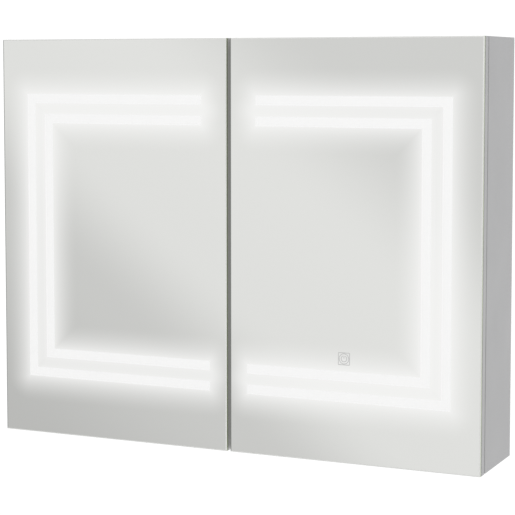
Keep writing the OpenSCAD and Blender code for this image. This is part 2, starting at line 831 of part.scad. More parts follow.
left_side();
right_side();
top_panel();
bottom_panel();
back_panel();
body_corner_keys();
corner_key_screws();
hanger_plates();
shelf_pins();
upper_shelf();
lower_shelf();
driver_housing();
housing_screws();
led_driver();
terminal_block();
inlet_grommet();
lead_clips();
door_bumpers();
hinge_screws();

left_door_lead();
on_left() hinge_arms();  // left_hinge_arms
on_left() hinge_plates();  // left_hinge_plates
on_left() mirror_glass(false);  // left_mirror_glass
on_left() frosted_bands();  // left_frosted_bands
on_left() mirror_tape();  // left_mirror_tape
on_left() hinge_stile();  // left_hinge_stile
on_left() meeting_stile();  // left_meeting_stile
on_left() top_rail();  // left_top_rail
on_left() bottom_rail();  // left_bottom_rail
on_left() door_corner_keys();  // left_door_corner_keys
on_left() door_sheet();  // left_door_sheet
on_left() light_channel();  // left_light_channel
on_left() led_strip();  // left_led_strip
on_left() diffuser();  // left_diffuser
on_left() hinge_cups();  // left_hinge_cups
on_left() hinge_pins();  // left_hinge_pins
on_left() hinge_springs();  // left_hinge_springs
on_left() cup_screws();  // left_cup_screws

right_door_lead();
on_right() hinge_arms();  // right_hinge_arms
on_right() hinge_plates();  // right_hinge_plates
on_right() mirror_glass(true);  // right_mirror_glass
on_right() frosted_bands();  // right_frosted_bands
on_right() mirror_tape();  // right_mirror_tape
on_right() hinge_stile();  // right_hinge_stile
on_right() meeting_stile();  // right_meeting_stile
on_right() top_rail();  // right_top_rail
on_right() bottom_rail();  // right_bottom_rail
on_right() door_corner_keys();  // right_door_corner_keys
on_right() door_sheet();  // right_door_sheet
on_right() light_channel();  // right_light_channel
on_right() led_strip();  // right_led_strip
on_right() diffuser();  // right_diffuser
on_right() hinge_cups();  // right_hinge_cups
on_right() hinge_pins();  // right_hinge_pins
on_right() hinge_springs();  // right_hinge_springs
on_right() cup_screws();  // right_cup_screws
on_right() touch_sensor();
on_right() touch_mark();
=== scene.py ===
"""Looks for the two-door lit mirror cabinet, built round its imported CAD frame.

The CAD nodes keep their shapes and places and get their finishes here. Mirrors, lit bands, touch
mark, shelves, leads, springs, grommet and bumpers are finer pieces that stand for their CAD nodes.
"""

import math

import bmesh
import bpy
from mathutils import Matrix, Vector


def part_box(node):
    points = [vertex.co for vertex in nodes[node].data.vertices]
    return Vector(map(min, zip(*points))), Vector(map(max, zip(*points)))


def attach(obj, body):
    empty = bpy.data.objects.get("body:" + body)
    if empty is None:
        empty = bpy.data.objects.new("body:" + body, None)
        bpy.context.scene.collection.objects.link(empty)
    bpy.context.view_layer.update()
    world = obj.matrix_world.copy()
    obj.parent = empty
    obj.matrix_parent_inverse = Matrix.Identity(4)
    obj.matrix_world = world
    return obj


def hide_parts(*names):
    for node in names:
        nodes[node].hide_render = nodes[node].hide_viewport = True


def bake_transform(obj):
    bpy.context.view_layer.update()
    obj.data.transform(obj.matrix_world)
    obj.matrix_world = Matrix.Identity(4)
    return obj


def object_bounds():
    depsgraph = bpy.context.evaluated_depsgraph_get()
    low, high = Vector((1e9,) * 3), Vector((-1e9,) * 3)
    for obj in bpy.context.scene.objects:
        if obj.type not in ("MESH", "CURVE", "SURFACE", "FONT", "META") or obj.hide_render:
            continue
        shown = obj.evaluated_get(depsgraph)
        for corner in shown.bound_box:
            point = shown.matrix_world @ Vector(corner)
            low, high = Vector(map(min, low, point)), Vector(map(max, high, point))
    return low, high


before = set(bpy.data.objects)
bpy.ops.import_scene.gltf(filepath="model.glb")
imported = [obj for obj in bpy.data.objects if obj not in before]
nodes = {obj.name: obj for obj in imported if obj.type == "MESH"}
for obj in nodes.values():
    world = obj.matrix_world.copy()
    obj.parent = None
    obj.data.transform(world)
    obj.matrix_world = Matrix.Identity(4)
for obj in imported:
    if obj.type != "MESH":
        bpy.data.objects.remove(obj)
cad_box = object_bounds()
MM = 0.001
SIDES = {"left": -1, "right": 1}

# ---------- Sizes, from the frame ----------

LOW, HIGH = cad_box
HALF_W = HIGH.x
HALF_H = HIGH.z
FRONT = LOW.y
BODY_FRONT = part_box("left_side")[0].y
GLASS_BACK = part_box("left_mirror_glass")[1].y
MEETING_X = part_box("right_mirror_glass")[0].x
BAND_LOW, BAND_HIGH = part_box("right_frosted_bands")

GLASS_FRONT = FRONT + 0.1 * MM      # the mirror's face, just behind the touch mark's
BAND_WIDE = 14 * MM
BAND_PITCH = 30 * MM
BAND_END_TOP = 43 * MM              # from the cabinet's middle to the end of the upper bands
BAND_END_BOTTOM = 30 * MM
BEVEL_WIDE = 1.6 * MM               # ground bevel round each mirror's face
BEVEL_DEEP = 0.8 * MM
ARRIS = 0.4 * MM                    # small chamfer round each mirror's back
ETCH_DEEP = 0.5 * MM                # how deep the frosted bands go into the glass


# ---------- Materials ----------

MIRROR_TONE = (0.815, 0.82, 0.805)
ANODISED_TONE = 0.395
DRAWN_STRETCH = 60          # how long the aluminium's drawing lines are for their width
NOISE_RANGE = (0.3, 0.7)    # noise mostly stays between these
GLOW_REACH = 40 * MM        # how far the painted glow beside a band reaches
GLOW_AT_BAND = 0.75         # share of the mirror's light that is painted glow, beside a band
GLOW_FALL = 1.6             # how fast the glow falls off with distance, as a power
GLOW_LEVEL = 0.93
MEETING_GLOW_LEVEL = 0.16           # strength of the painted glow that lightens the doors' meeting faces
MEETING_GLOW_DEEP = 0.3 * MM        # how deep behind such a face still counts as the face


def put(tree, socket, value):
    """Sets an input to a value, or links it to an output socket."""
    if isinstance(value, bpy.types.NodeSocket):
        tree.links.new(value, socket)
    else:
        socket.default_value = value


def shader_of(material):
    return material.node_tree.nodes["Principled BSDF"]


def feed(material, name, value):
    """Sets or links one of the material's own inputs."""
    put(material.node_tree, shader_of(material).inputs[name], value)


def finish_material(name, colour, metallic=0.0, roughness=0.5, **sockets):
    """A Principled material; sockets names further inputs with _ for a space."""
    material = bpy.data.materials.new(name)
    material.use_nodes = True
    feed(material, "Base Color", (*colour, 1))
    feed(material, "Metallic", metallic)
    feed(material, "Roughness", roughness)
    for socket, value in sockets.items():
        feed(material, socket.replace("_", " "), value)
    return material


def add_node(tree, kind, links=(), **settings):
    """A node with its inputs set from links: (input, value or output socket)."""
    made = tree.nodes.new(kind)
    for key, value in settings.items():
        setattr(made, key, value)
    for socket, value in links:
        put(tree, made.inputs[socket], value)
    return made


def math_node(tree, operation, a, b=None):
    links = [(0, a)] + ([] if b is None else [(1, b)])
    return add_node(tree, "ShaderNodeMath", links, operation=operation).outputs[0]


def remap(tree, value, source, target, kind="LINEAR"):
    """Maps a value from one range onto another, and holds it there."""
    links = [
        ("Value", value), ("From Min", source[0]), ("From Max", source[1]),
        ("To Min", target[0]), ("To Max", target[1]),
    ]
    made = add_node(tree, "ShaderNodeMapRange", links, clamp=True, interpolation_type=kind)
    return made.outputs["Result"]


def mix_colours(tree, factor, first, second):
    links = [("Factor", factor), ("A", first), ("B", second)]
    return add_node(tree, "ShaderNodeMix", links, data_type="RGBA").outputs["Result"]


def object_place(tree):
    return add_node(tree, "ShaderNodeTexCoord").outputs["Object"]


def axes_of(tree, vector):
    """A vector's outputs X, Y and Z."""
    return add_node(tree, "ShaderNodeSeparateXYZ", [("Vector", vector)]).outputs


def noise_of(material, size, stretch=(1, 1, 1), detail=3.0):
    """Noise whose features are about this size in metres, stretched along an axis."""
    tree = material.node_tree
    mapped = add_node(tree, "ShaderNodeMapping", [
        ("Vector", object_place(tree)), ("Scale", [1 / s for s in stretch]),
    ])
    links = [("Vector", mapped.outputs["Vector"]), ("Scale", 1 / size), ("Detail", detail)]
    return add_node(tree, "ShaderNodeTexNoise", links).outputs["Fac"]


def spread(material, noise, low, high):
    return remap(material.node_tree, noise, NOISE_RANGE, (low, high))


def vary_colour(material, noise, share):
    """Makes the base colour vary by this share about its set value."""
    colour = list(shader_of(material).inputs["Base Color"].default_value)[:3]
    darker = (*[c * (1 - share) for c in colour], 1)
    lighter = (*[min(1, c * (1 + share)) for c in colour], 1)
    place = spread(material, noise, 0, 1)
    feed(material, "Base Color", mix_colours(material.node_tree, place, darker, lighter))


def vary_roughness(material, noise, low, high):
    feed(material, "Roughness", spread(material, noise, low, high))


def add_bump(material, noise, height, strength=1.0):
    links = [("Height", noise), ("Distance", height), ("Strength", strength)]
    bump = add_node(material.node_tree, "ShaderNodeBump", links)
    feed(material, "Normal", bump.outputs["Normal"])


def light_up(material, colour, strength):
    """Makes a material give off light. Its strength is a number or an output socket."""
    feed(material, "Emission Color", (*colour, 1))
    feed(material, "Emission Strength", strength)
    return material


def anodised(name, along):
    """Satin anodised aluminium with drawing lines along an axis and a fine matt grain."""
    colour = (ANODISED_TONE, ANODISED_TONE, ANODISED_TONE * 1.01)
    material = finish_material(name, colour, metallic=1.0, roughness=0.4)
    stretch = [DRAWN_STRETCH if axis == along else 1 for axis in "xyz"]
    vary_colour(material, noise_of(material, 90 * MM, detail=2), 0.025)
    vary_roughness(material, noise_of(material, 0.35 * MM, detail=2), 0.36, 0.46)
    add_bump(material, noise_of(material, 0.9 * MM, stretch, detail=5), 0.012 * MM, 0.6)
    return material


def powder_coat(name, colour):
    """Fine powder coating: an even colour with a faint orange peel."""
    material = finish_material(name, colour, roughness=0.42, Coat_Weight=0.15)
    peel = noise_of(material, 1.6 * MM, detail=3)
    vary_colour(material, noise_of(material, 120 * MM), 0.012)
    vary_roughness(material, peel, 0.38, 0.5)
    add_bump(material, peel, 0.03 * MM, 0.5)
    return material


def plated(name, colour, roughness, patch=6 * MM, share=0.06, grain_deep=0.0008 * MM):
    """Plated or plain metal: slight patches in tone and gloss, and a fine grain."""
    material = finish_material(name, colour, metallic=1.0, roughness=roughness)
    vary_colour(material, noise_of(material, patch), share)
    vary_roughness(material, noise_of(material, 1.2 * MM), roughness * 0.85, roughness * 1.15)
    add_bump(material, noise_of(material, 0.25 * MM, detail=2), grain_deep, 0.5)
    return material


def moulded(name, colour, roughness, grain=0.5 * MM, depth=0.02 * MM, **sockets):
    """Moulded plastic or rubber with a fine spark-eroded grain."""
    material = finish_material(name, colour, roughness=roughness, **sockets)
    vary_colour(material, noise_of(material, 25 * MM), 0.03)
    fine = noise_of(material, grain, detail=2)
    vary_roughness(material, fine, roughness * 0.85, min(1, roughness * 1.15))
    add_bump(material, fine, depth, 0.6)
    return material


def rectangle_distance(tree, x, z, rectangle):
    """Distance in the door's plane from a rectangle (x low, z low, x high, z high)."""
    x0, z0, x1, z1 = rectangle
    gaps = []
    for place, low, high in ((x, x0, x1), (z, z0, z1)):
        off = math_node(tree, "SUBTRACT", place, (low + high) / 2)
        past = math_node(tree, "SUBTRACT", math_node(tree, "ABSOLUTE", off), (high - low) / 2)
        gaps.append(math_node(tree, "MAXIMUM", past, 0.0))
    squares = [math_node(tree, "MULTIPLY", gap, gap) for gap in gaps]
    return math_node(tree, "SQRT", math_node(tree, "ADD", *squares))


def mirror_material(name, bands):
    """Silvered glass, with a painted glow beside the lit bands that veils the mirror, standing in
    for light spreading inside the glass.
    """
    material = finish_material(name, MIRROR_TONE, metallic=1.0)
    tree = material.node_tree
    vary_roughness(material, noise_of(material, 60 * MM), 0.012, 0.035)
    axes = axes_of(tree, object_place(tree))
    clear = 1.0
    for rectangles in bands:
        nearest = 1.0
        for rectangle in rectangles:
            far = rectangle_distance(tree, axes["X"], axes["Z"], rectangle)
            nearest = math_node(tree, "MINIMUM", nearest, far)
        close = remap(tree, nearest, (0.0, GLOW_REACH), (1.0, 0.0))
        veil = math_node(tree, "MULTIPLY", math_node(tree, "POWER", close, GLOW_FALL), GLOW_AT_BAND)
        clear = math_node(tree, "MULTIPLY", clear, math_node(tree, "SUBTRACT", 1.0, veil))
    feed(material, "Base Color", mix_colours(tree, clear, (0, 0, 0, 1), (*MIRROR_TONE, 1)))
    # painted glow: near the bands the mirror reflects less and gives off light itself
    glow = math_node(tree, "MULTIPLY", math_node(tree, "SUBTRACT", 1.0, clear), GLOW_LEVEL)
    return light_up(material, (1, 1, 0.99), glow)


def polished_bevel(name, square_on, edge_on):
    """A mirror's ground bevel, darker where it is seen edge on and the glass is deep."""
    material = finish_material(name, square_on, metallic=0.9)
    tree = material.node_tree
    vary_roughness(material, noise_of(material, 3 * MM), 0.08, 0.2)
    facing = add_node(tree, "ShaderNodeLayerWeight", [("Blend", 0.5)]).outputs["Facing"]
    feed(material, "Base Color", mix_colours(tree, facing, (*square_on, 1), (*edge_on, 1)))
    return material


def clear_glass(name, colour):
    material = finish_material(name, colour, Transmission_Weight=1.0, IOR=1.5)
    vary_roughness(material, noise_of(material, 40 * MM), 0.0, 0.03)
    return material


def glass_edge_with_painted_glow(name, colour):
    """Ground and polished glass edge: the green of the glass seen through its length, and a faint
    painted glow standing in for lamp light carried to the edge; the shelf edges get it too, though
    unlit."""
    material = finish_material(name, colour, Coat_Weight=0.5)
    ground = noise_of(material, 2.5 * MM, (8, 1, 8), detail=4)
    vary_colour(material, ground, 0.12)
    vary_roughness(material, ground, 0.08, 0.25)
    add_bump(material, noise_of(material, 0.4 * MM), 0.01 * MM, 0.4)
    # painted glow: the edge gives off a little light, on the shelves too
    return light_up(material, colour, 0.2)


def frosted(name):
    """Etched glass, evenly lit from behind."""
    material = finish_material(name, (0.60, 0.60, 0.60), roughness=0.6)
    vary_colour(material, noise_of(material, 30 * MM), 0.01)
    add_bump(material, noise_of(material, 0.3 * MM, detail=2), 0.01 * MM, 0.5)
    return light_up(material, (1, 1, 1), 0.38)


def meeting_face_painted_glow(name):
    """Anodised door profile with a painted glow on its meeting face, which lightens that face in
    the shaded gap between the doors.
    """
    material = anodised(name, "z")
    tree = material.node_tree
    from_middle = math_node(tree, "ABSOLUTE", axes_of(tree, object_place(tree))["X"])
    at_face = math_node(tree, "LESS_THAN", from_middle, MEETING_X + MEETING_GLOW_DEEP)
    # painted glow: the meeting face gives off light
    return light_up(material, (1, 1, 0.95), math_node(tree, "MULTIPLY", at_face, MEETING_GLOW_LEVEL))


FINISHES = {
    "panel_upright": anodised("anodised_upright", "z"),
    "panel_level": anodised("anodised_level", "x"),
    "panel_meeting_glow": meeting_face_painted_glow("anodised_meeting_painted_glow"),
    "white": powder_coat("white_powder_coat", (0.80, 0.80, 0.79)),
    "zinc": plated("zinc_plate", (0.55, 0.56, 0.57), 0.34),
    "cast": plated("cast_zinc", (0.42, 0.43, 0.44), 0.5, 3 * MM, 0.06, grain_deep=0.0025 * MM),
    "nickel": plated("nickel_plate", (0.60, 0.585, 0.56), 0.28, patch=14 * MM, share=0.03),
    "pin": plated("polished_pin", (0.68, 0.68, 0.69), 0.12, share=0.03),
    "spring": plated("spring_wire", (0.30, 0.30, 0.31), 0.3),
    "shelf": clear_glass("shelf_glass", (0.93, 0.985, 0.96)),
    "shelf_edge": glass_edge_with_painted_glow("shelf_glass_edge", (0.16, 0.28, 0.235)),
    "mirror_edge": glass_edge_with_painted_glow("mirror_glass_edge", (0.27, 0.31, 0.20)),
    "mirror_bevel": polished_bevel("mirror_bevel", (0.86, 0.86, 0.85), (0.54, 0.55, 0.53)),
    # bevel_shade: the bevel's darker copy, painted shade for the left-facing bevels
    "bevel_shade": polished_bevel("mirror_bevel_shade", (0.38, 0.39, 0.37), (0.17, 0.18, 0.17)),
    "mirror_back": moulded("mirror_back_coat", (0.18, 0.19, 0.19), 0.6, grain=1.5 * MM),
    "frosted": frosted("lit_frosted_band"),
    "foam": moulded("dark_foam_tape", (0.05, 0.05, 0.05), 0.9, grain=0.8 * MM, depth=0.08 * MM),
    "opal": light_up(moulded("opal_diffuser", (0.86, 0.86, 0.85), 0.45), (1, 1, 0.98), 0.6),
    "board": light_up(moulded("lamp_board", (0.85, 0.85, 0.8), 0.4), (1, 1, 0.95), 0.5),
    "rubber": moulded("black_rubber", (0.022, 0.022, 0.023), 0.62),
    "silicone": moulded("clear_silicone", (0.75, 0.76, 0.75), 0.3, Transmission_Weight=0.5),
    "sheath": moulded("white_lead_sheath", (0.74, 0.74, 0.73), 0.35),
    "clip": moulded("clip_nylon", (0.70, 0.70, 0.68), 0.45),
    "driver": moulded("driver_case", (0.76, 0.76, 0.75), 0.5, grain=0.9 * MM, depth=0.04 * MM),
    "terminal": moulded("terminal_polyamide", (0.74, 0.73, 0.68), 0.38),
    "sensor": moulded("potted_sensor", (0.03, 0.03, 0.035), 0.4),
    # The etched mark has a faint painted glow that lifts its lines to a set brightness.
    "mark": light_up(moulded("etched_mark_painted_glow", (0.46, 0.46, 0.46), 0.5), (1, 1, 1), 0.10),
}

NODE_FINISH = {
    "left_side": "panel_upright", "right_side": "panel_upright",
    "top_panel": "panel_level", "bottom_panel": "panel_level",
    "back_panel": "white", "body_corner_keys": "cast", "corner_key_screws": "zinc",
    "hanger_plates": "zinc", "shelf_pins": "nickel", "driver_housing": "white",
    "housing_screws": "zinc", "led_driver": "driver", "terminal_block": "terminal",
    "lead_clips": "clip", "hinge_screws": "zinc", "touch_sensor": "sensor",
}
DOOR_NODE_FINISH = {
    "hinge_arms": "nickel", "hinge_plates": "nickel", "mirror_tape": "foam",
    "hinge_stile": "panel_upright", "meeting_stile": "panel_meeting_glow",
    "top_rail": "panel_level", "bottom_rail": "panel_level", "door_corner_keys": "cast",
    "door_sheet": "white", "light_channel": "white", "led_strip": "board",
    "diffuser": "opal", "hinge_cups": "nickel", "hinge_pins": "pin", "cup_screws": "zinc",
}
# How far a CAD node's sharp edges are rounded, by its finish, in millimetres.
EDGE_ROUND = {
    "panel_upright": 0.5, "panel_level": 0.5, "panel_meeting_glow": 0.5, "white": 0.25,
    "zinc": 0.12, "cast": 0.4, "nickel": 0.25, "driver": 0.8, "terminal": 0.4,
    "clip": 0.3, "pin": 0.2, "sensor": 0.3,
}
OTHER_ROUND = 0.1
WELD_GAP = 0.004 * MM               # points closer than this are joined
FLAT_ANGLE = math.radians(1)        # faces that turn less than this count as one
SHARP_ANGLE = math.radians(40)      # edges that turn more than this are sharp


def dress(node, finish):
    """Gives a CAD node its finish, and rounds its sharp edges with modifiers."""
    mesh = node.data
    mesh.materials.clear()
    mesh.materials.append(FINISHES[finish])
    if "custom_normal" in mesh.attributes:
        mesh.attributes.remove(mesh.attributes["custom_normal"])
    mesh.shade_smooth()
    weld = node.modifiers.new("weld", "WELD")
    weld.merge_threshold = WELD_GAP
    flat = node.modifiers.new("flat", "DECIMATE")
    flat.decimate_type = "DISSOLVE"
    flat.angle_limit = FLAT_ANGLE
    round_off = node.modifiers.new("edges", "BEVEL")
    round_off.width = EDGE_ROUND.get(finish, OTHER_ROUND) * MM
    round_off.segments = 2
    round_off.limit_method = "ANGLE"
    round_off.angle_limit = SHARP_ANGLE
    round_off.harden_normals = True
    round_off.use_clamp_overlap = True


for node_name, finish_name in NODE_FINISH.items():
    dress(nodes[node_name], finish_name)
for side_name in SIDES:
    for node_name, finish_name in DOOR_NODE_FINISH.items():
        dress(nodes[f"{side_name}_{node_name}"], finish_name)


# ---------- Making pieces ----------

def new_piece(name, mesh, body, replaced, materials):
    """Links a mesh as a piece that rides on a body, or on none yet, and stands for CAD nodes.
    Materials are names of finishes, or materials themselves."""
    for finish in materials:
        mesh.materials.append(FINISHES.get(finish) or finish)
    made = bpy.data.objects.new(name, mesh)
    bpy.context.scene.collection.objects.link(made)
    if body:
        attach(made, body)
    if replaced:
        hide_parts(*replaced)
    return made


def mesh_from(name, built, smooth=False):
    """Turns a bmesh into a mesh, with its faces looking outwards."""
    bmesh.ops.recalc_face_normals(built, faces=built.faces)
    mesh = bpy.data.meshes.new(name)
    built.to_mesh(mesh)
    built.free()
    if smooth:
        mesh.shade_smooth()
        mesh.set_sharp_from_angle(angle=SHARP_ANGLE)
    return mesh


def add_box(built, low, high):
    """Adds a box to a bmesh."""
    for v in bmesh.ops.create_cube(built, size=1)["verts"]:
        v.co = [(a + b) / 2 + c * (b - a) for a, b, c in zip(low, high, v.co)]


def add_lathe(built, profile, place, steps):
    """Adds a closed turned shape. The profile's points are (radius, distance along -Y)."""
    rings = []
    for radius, along in profile:
        rings.append([
            built.verts.new((
                place[0] + radius * math.cos(2 * math.pi * k / steps),
                place[1] - along,
                place[2] + radius * math.sin(2 * math.pi * k / steps),
            ))
            for k in range(steps)
        ])
    for a, b in zip(rings, rings[1:] + rings[:1]):
        for k in range(steps):
            built.faces.new((a[k], a[(k + 1) % steps], b[(k + 1) % steps], b[k]))


def smooth_route(route, steps):
    """Points on one smooth curve through the route's points."""
    points = [Vector(p) for p in route]
    ends = [points[0], *points, points[-1]]
    made = []
    for before, start, stop, after in zip(ends, ends[1:], ends[2:], ends[3:]):
        for k in range(steps):
            t = k / steps
            made.append(0.5 * (
                2 * start + (stop - before) * t
                + (2 * before - 5 * start + 4 * stop - after) * t ** 2
                + (3 * start - before - 3 * stop + after) * t ** 3
            ))
    return [*made, points[-1]]


def add_tube(built, points, radius, sides):
    """Adds a closed round tube along points, without twist."""
    along = [(b - a).normalized() for a, b in zip(points, points[1:])]
    tangents = [along[0], *[(a + b).normalized() for a, b in zip(along, along[1:])], along[-1]]
    across = tangents[0].orthogonal().normalized()
    rings = []
    for point, tangent in zip(points, tangents):
        across = (across - tangent * across.dot(tangent)).normalized()
        up = tangent.cross(across)
        rings.append([
            built.verts.new(point + radius * (across * math.cos(t) + up * math.sin(t)))
            for t in (2 * math.pi * k / sides for k in range(sides))
        ])
    for a, b in zip(rings, rings[1:]):
        for k in range(sides):
            built.faces.new((a[k], a[(k + 1) % sides], b[(k + 1) % sides], b[k]))
    built.faces.new(list(reversed(rings[0])))
    built.faces.new(rings[-1])


# ---------- Mirrors ----------

# A mirror's materials: its silvered face, then these. The left bevel takes a darker copy of the
# bevel's material, painted shade for the side that looks away from the light.
MIRROR_FINISHES = ["mirror_bevel", "bevel_shade", "mirror_edge", "mirror_back"]
FACE, BEVEL, LEFT_BEVEL_PAINTED_SHADE, EDGE, BACK = range(5)
POCKET_FILL = 0.98      # how much of a pocket's depth its band fills


def band_rectangles(side):
    """The rectangles of a door's two bracket-shaped bands: upright, top and bottom of each, as
    (x low, z low, x high, z high)."""
    found = []
    for inset in (0, BAND_PITCH):
        outer = BAND_HIGH.x - inset
        low = BAND_LOW.z + inset
        high = BAND_HIGH.z - inset
        for x0, z0, x1, z1 in (
            (outer - BAND_WIDE, low, outer, high),
            (BAND_END_TOP, high - BAND_WIDE, outer - BAND_WIDE, high),
            (BAND_END_BOTTOM, low, outer - BAND_WIDE, low + BAND_WIDE),
        ):
            found.append((x0, z0, x1, z1) if side > 0 else (-x1, z0, -x0, z1))
    return found


def mirror_mesh(name, side):
    """A silvered glass plate with a ground bevel, and shallow pockets where the bands are."""
    bands = band_rectangles(side)
    left, right = sorted((side * MEETING_X, side * HALF_W))
    x_cuts = {round(v, 6) for band in bands for v in (band[0], band[2])}
    z_cuts = {round(v, 6) for band in bands for v in (band[1], band[3])}
    xs = sorted(x_cuts | {left + BEVEL_WIDE, right - BEVEL_WIDE})
    zs = sorted(z_cuts | {BEVEL_WIDE - HALF_H, HALF_H - BEVEL_WIDE})
    built = bmesh.new()
    corners = {}

    def corner(x, y, z):
        """One shared vertex for each place, to a micrometre."""
        key = (round(x, 6), round(y, 6), round(z, 6))
        if key not in corners:
            corners[key] = built.verts.new((x, y, z))
        return corners[key]

    def add_face(points, material=FACE):
        built.faces.new([corner(*point) for point in points]).material_index = material

    def is_band(x, z):
        return any(b[0] < x < b[2] and b[1] < z < b[3] for b in bands)

    front, pocket = GLASS_FRONT, GLASS_FRONT + ETCH_DEEP
    cells = {}
    for i, (x0, x1) in enumerate(zip(xs, xs[1:])):
        for k, (z0, z1) in enumerate(zip(zs, zs[1:])):
            cells[i, k] = is_band((x0 + x1) / 2, (z0 + z1) / 2)
            y = pocket if cells[i, k] else front
            add_face([(x0, y, z0), (x1, y, z0), (x1, y, z1), (x0, y, z1)])
    for (i, k), lit in cells.items():
        if cells.get((i + 1, k), lit) != lit:
            x, z0, z1 = xs[i + 1], zs[k], zs[k + 1]
            add_face([(x, front, z0), (x, front, z1), (x, pocket, z1), (x, pocket, z0)])
        if cells.get((i, k + 1), lit) != lit:
            z, x0, x1 = zs[k + 1], xs[i], xs[i + 1]
            add_face([(x0, front, z), (x1, front, z), (x1, pocket, z), (x0, pocket, z)])

    # The rim's points run below, right, above, left. Each level says how far out, and how deep.
    nx, nz = len(xs), len(zs)
    rim = [
        *[(x, zs[0]) for x in xs], *[(xs[-1], z) for z in zs[1:]],
        *[(x, zs[-1]) for x in xs[-2::-1]], *[(xs[0], z) for z in zs[-2:0:-1]],
    ]
    levels = [
        (0, front), (BEVEL_WIDE, front + BEVEL_DEEP),
        (BEVEL_WIDE, GLASS_BACK - ARRIS), (BEVEL_WIDE - ARRIS, GLASS_BACK),
    ]
    rings = []
    for grow, y in levels:
        ways = {xs[0]: -grow, xs[-1]: grow}, {zs[0]: -grow, zs[-1]: grow}
        rings.append([(x + ways[0].get(x, 0), y, z + ways[1].get(z, 0)) for x, z in rim])
    left_starts = 2 * (nx - 1) + nz - 1
    for level, (a, b) in enumerate(zip(rings, rings[1:])):
        for k in range(len(rim)):
            n = (k + 1) % len(rim)
            # the bevel faces on the left take the painted shade
            bevel = LEFT_BEVEL_PAINTED_SHADE if k >= left_starts else BEVEL
            add_face([a[k], a[n], b[n], b[k]], EDGE if level else bevel)
    add_face(rings[-1], BACK)
    return mesh_from(name, built)


def bands_mesh(name, side):
    """The frosted bands, filled into the mirror's open places and flush with its face."""
    built = bmesh.new()
    for upright in band_rectangles(side)[::3]:
        x_in, x_out = sorted((abs(upright[0]), abs(upright[2])))
        z0, z1 = upright[1], upright[3]
        outline = [
            (BAND_END_TOP, z1), (x_out, z1), (x_out, z0), (BAND_END_BOTTOM, z0),
            (BAND_END_BOTTOM, z0 + BAND_WIDE), (x_in, z0 + BAND_WIDE),
            (x_in, z1 - BAND_WIDE), (BAND_END_TOP, z1 - BAND_WIDE),
        ]
        rings = [
            [built.verts.new((side * x, y, z)) for x, z in outline]
            for y in (GLASS_FRONT, GLASS_FRONT + POCKET_FILL * ETCH_DEEP)
        ]
        for a, b, c, d in ((0, 1, 6, 7), (1, 2, 5, 6), (2, 3, 4, 5)):      # top, upright, bottom
            for ring in rings:
                built.faces.new([ring[i] for i in (a, b, c, d)])
        for k in range(len(outline)):
            n = (k + 1) % len(outline)
            built.faces.new((rings[0][k], rings[0][n], rings[1][n], rings[1][k]))
    return mesh_from(name, built)


for side_name, side in SIDES.items():
    rectangles = band_rectangles(side)
    silver = mirror_material(f"{side_name}_silvered_glass", (rectangles[:3], rectangles[3:]))
    new_piece(
        f"{side_name}_mirror", mirror_mesh(f"{side_name}_mirror", side), f"{side_name}_door",
        [f"{side_name}_mirror_glass"], [silver, *MIRROR_FINISHES],
    )
    new_piece(
        f"{side_name}_lit_bands", bands_mesh(f"{side_name}_lit_bands", side), f"{side_name}_door",
        [f"{side_name}_frosted_bands"], ["frosted"],
    )


# ---------- Touch mark ----------

MARK_LINE = 1 * MM
MARK_PROUD = 0.05 * MM          # how far the mark stands out of the mirror's face, and into it
SQUARE_CORNERS = (1.5 * MM, 0.5 * MM)       # outside and inside
RING_CLEAR = 0.8 * MM           # from the square's line to the middle of the ring's
ARC_CLEAR = 0.3 * MM            # how much smaller the power symbol's arc is than half the square
ARC_GAP = 1.5 * MM              # half the gap in the arc, above its middle
STROKE = (0.4 * MM, 4.4 * MM)   # the power symbol's stroke, above the mark's centre


def arc_points(radius, start=0.0, stop=2 * math.pi, steps=40):
    """Points of a circle or an arc, centred on (0, 0)."""
    turns = [start + (stop - start) * k / steps for k in range(steps + 1)]
    return [(radius * math.cos(t), radius * math.sin(t)) for t in turns]


def square_points(size, corner, steps=8):
    """Points of a rounded square, centred on (0, 0)."""
    made = []
    inner = size / 2 - corner
    for quarter, (sx, sz) in enumerate(((1, 1), (-1, 1), (-1, -1), (1, -1))):
        for k in range(steps + 1):
            t = math.pi / 2 * (quarter + k / steps)
            made.append((sx * inner + corner * math.cos(t), sz * inner + corner * math.sin(t)))
    return [*made, made[0]]


def add_ribbon(built, outer, inner, centre, near, far):
    """Adds a flat ribbon between two outlines of the same number of points."""
    rows = [
        [built.verts.new((centre[0] + x, y, centre[1] + z)) for x, z in line]
        for line, y in ((outer, near), (inner, near), (inner, far), (outer, far))
    ]
    count = len(outer)
    for a, b in zip(rows, rows[1:] + rows[:1]):
        for k in range(count - 1):
            built.faces.new((a[k], a[k + 1], b[k + 1], b[k]))
    built.faces.new([row[0] for row in rows])
    built.faces.new([row[-1] for row in reversed(rows)])


def mark_outlines(size):
    """Outside and inside of each line in the mark: a square, a ring and a power symbol."""
    half = MARK_LINE / 2
    outside, inside = SQUARE_CORNERS
    ring_r = size / 2 - MARK_LINE - RING_CLEAR
    arc_r = size / 4 - ARC_CLEAR
    opening = math.asin(ARC_GAP / arc_r)
    ends = (math.pi / 2 + opening, 5 * math.pi / 2 - opening)
    return (
        (square_points(size, outside), square_points(size - 2 * MARK_LINE, inside)),
        (arc_points(ring_r + half), arc_points(ring_r - half)),
        (arc_points(arc_r + half, *ends), arc_points(arc_r - half, *ends)),
        ([(half, z) for z in STROKE], [(-half, z) for z in STROKE]),
    )


